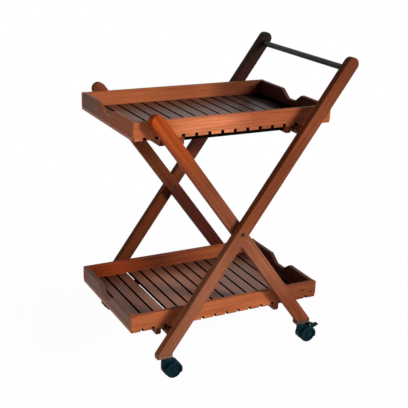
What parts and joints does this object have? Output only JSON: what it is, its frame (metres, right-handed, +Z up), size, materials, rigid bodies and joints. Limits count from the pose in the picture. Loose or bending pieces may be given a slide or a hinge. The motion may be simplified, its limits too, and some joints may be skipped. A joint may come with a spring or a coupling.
{
  "type": "folding tea trolley",
  "caption": "Folding serving trolley with crossed wooden legs, lift-off slatted trays with hand-hold ends, a round push bar and hooded twin-wheel casters.",
  "frame": {"origin": "on the floor, in the middle of the bounding box", "axes": "+Z up, +X along the trays towards the push bar, +Y across the trolley away from the viewer's side"},
  "size_m": [0.6878, 0.522, 0.9206],
  "materials": {
    "frame_wood": "satin oiled, rusty brown",
    "rail_wood": "satin oiled, rusty brown",
    "foot_wood": "satin, paler end grain",
    "tray_wood": "satin oiled, orange brown",
    "slat_wood": "satin oiled, brown",
    "black_metal": "satin black",
    "dark_steel": "dark coated steel",
    "plated_steel": "zinc plated",
    "caster_plastic": "moulded, dark",
    "wheel_plastic": "moulded, dark",
    "pedal_plastic": "moulded, dark"
  },
  "bodies": {
    "outer_frame": {"outer_leg_near": "frame_wood", "outer_foot_near": "foot_wood", "outer_sleeve_near": "plated_steel", "pivot_bolt_near": "dark_steel", "pivot_washer_near": "dark_steel", "pivot_nut_near": "dark_steel", "outer_leg_far": "frame_wood", "outer_foot_far": "foot_wood", "outer_sleeve_far": "plated_steel", "pivot_bolt_far": "dark_steel", "pivot_washer_far": "dark_steel", "pivot_nut_far": "dark_steel", "outer_upper_rail": "rail_wood", "outer_lower_rail": "rail_wood", "handle_bar": "black_metal"},
    "inner_frame": {"inner_leg_near": "frame_wood", "inner_foot_near": "foot_wood", "inner_sleeve_near": "plated_steel", "inner_leg_far": "frame_wood", "inner_foot_far": "foot_wood", "inner_sleeve_far": "plated_steel", "inner_upper_rail": "rail_wood", "inner_lower_rail": "rail_wood"},
    "lower_tray": {"lower_tray_side_near": "tray_wood", "lower_tray_side_far": "tray_wood", "lower_tray_end_left": "tray_wood", "lower_tray_end_right": "tray_wood", "lower_tray_slats": "slat_wood", "lower_tray_cleats": "frame_wood", "lower_tray_battens": "frame_wood"},
    "upper_tray": {"upper_tray_side_near": "tray_wood", "upper_tray_side_far": "tray_wood", "upper_tray_end_left": "tray_wood", "upper_tray_end_right": "tray_wood", "upper_tray_slats": "slat_wood", "upper_tray_cleats": "frame_wood", "upper_tray_battens": "frame_wood"},
    "outer_caster_near": {"outer_caster_hood_near": "caster_plastic", "outer_caster_stem_near": "plated_steel"},
    "outer_wheels_near": {"outer_caster_wheels_near": "wheel_plastic", "outer_caster_axle_near": "plated_steel"},
    "outer_caster_far": {"outer_caster_hood_far": "caster_plastic", "outer_caster_stem_far": "plated_steel"},
    "outer_wheels_far": {"outer_caster_wheels_far": "wheel_plastic", "outer_caster_axle_far": "plated_steel"},
    "inner_caster_near": {"inner_caster_hood_near": "caster_plastic", "inner_caster_stem_near": "plated_steel", "inner_caster_pedal_pin_near": "plated_steel"},
    "inner_wheels_near": {"inner_caster_wheels_near": "wheel_plastic", "inner_caster_axle_near": "plated_steel"},
    "inner_pedal_near": {"inner_caster_pedal_near": "pedal_plastic"},
    "inner_caster_far": {"inner_caster_hood_far": "caster_plastic", "inner_caster_stem_far": "plated_steel", "inner_caster_pedal_pin_far": "plated_steel"},
    "inner_wheels_far": {"inner_caster_wheels_far": "wheel_plastic", "inner_caster_axle_far": "plated_steel"},
    "inner_pedal_far": {"inner_caster_pedal_far": "pedal_plastic"}
  },
  "joints": [
    {"name": "frame_fold", "type": "hinge", "parent": "outer_frame", "child": "inner_frame", "pos_m": [-0.01693, 0, 0.421], "axis": [0, 1, 0], "range_deg": [0, 45]},
    {"name": "lower_tray_lift", "type": "slide", "parent": "outer_frame", "child": "lower_tray", "axis": [0, 0, 1], "range_m": [0, 0.1179]},
    {"name": "upper_tray_lift", "type": "slide", "parent": "outer_frame", "child": "upper_tray", "axis": [0, 0, 1], "range_m": [0, 0.4399]},
    {"name": "outer_caster_swivel_near", "type": "hinge", "parent": "outer_frame", "child": "outer_caster_near", "pos_m": [-0.25555, -0.242, 0.0665], "axis": [0, 0, 1], "continuous": true},
    {"name": "outer_wheel_spin_near", "type": "hinge", "parent": "outer_caster_near", "child": "outer_wheels_near", "pos_m": [-0.23155, -0.242, 0.025], "axis": [0, 1, 0], "continuous": true},
    {"name": "outer_caster_swivel_far", "type": "hinge", "parent": "outer_frame", "child": "outer_caster_far", "pos_m": [-0.25555, 0.242, 0.0665], "axis": [0, 0, 1], "continuous": true},
    {"name": "outer_wheel_spin_far", "type": "hinge", "parent": "outer_caster_far", "child": "outer_wheels_far", "pos_m": [-0.23155, 0.242, 0.025], "axis": [0, 1, 0], "continuous": true},
    {"name": "inner_caster_swivel_near", "type": "hinge", "parent": "inner_frame", "child": "inner_caster_near", "pos_m": [0.23628, -0.215, 0.0665], "axis": [0, 0, 1], "continuous": true},
    {"name": "inner_wheel_spin_near", "type": "hinge", "parent": "inner_caster_near", "child": "inner_wheels_near", "pos_m": [0.26028, -0.215, 0.025], "axis": [0, 1, 0], "continuous": true},
    {"name": "inner_brake_pedal_near", "type": "hinge", "parent": "inner_caster_near", "child": "inner_pedal_near", "pos_m": [0.26828, -0.215, 0.05557], "axis": [0, 1, 0], "range_deg": [0, 7]},
    {"name": "inner_caster_swivel_far", "type": "hinge", "parent": "inner_frame", "child": "inner_caster_far", "pos_m": [0.23628, 0.215, 0.0665], "axis": [0, 0, 1], "continuous": true},
    {"name": "inner_wheel_spin_far", "type": "hinge", "parent": "inner_caster_far", "child": "inner_wheels_far", "pos_m": [0.26028, 0.215, 0.025], "axis": [0, 1, 0], "continuous": true},
    {"name": "inner_brake_pedal_far", "type": "hinge", "parent": "inner_caster_far", "child": "inner_pedal_far", "pos_m": [0.26828, 0.215, 0.05557], "axis": [0, 1, 0], "range_deg": [0, 7]}
  ],
  "couplings": [
    {"joint": "lower_tray_lift", "follows": "frame_fold", "m_per_rad": 0.15},
    {"joint": "upper_tray_lift", "follows": "frame_fold", "m_per_rad": 0.56}
  ]
}
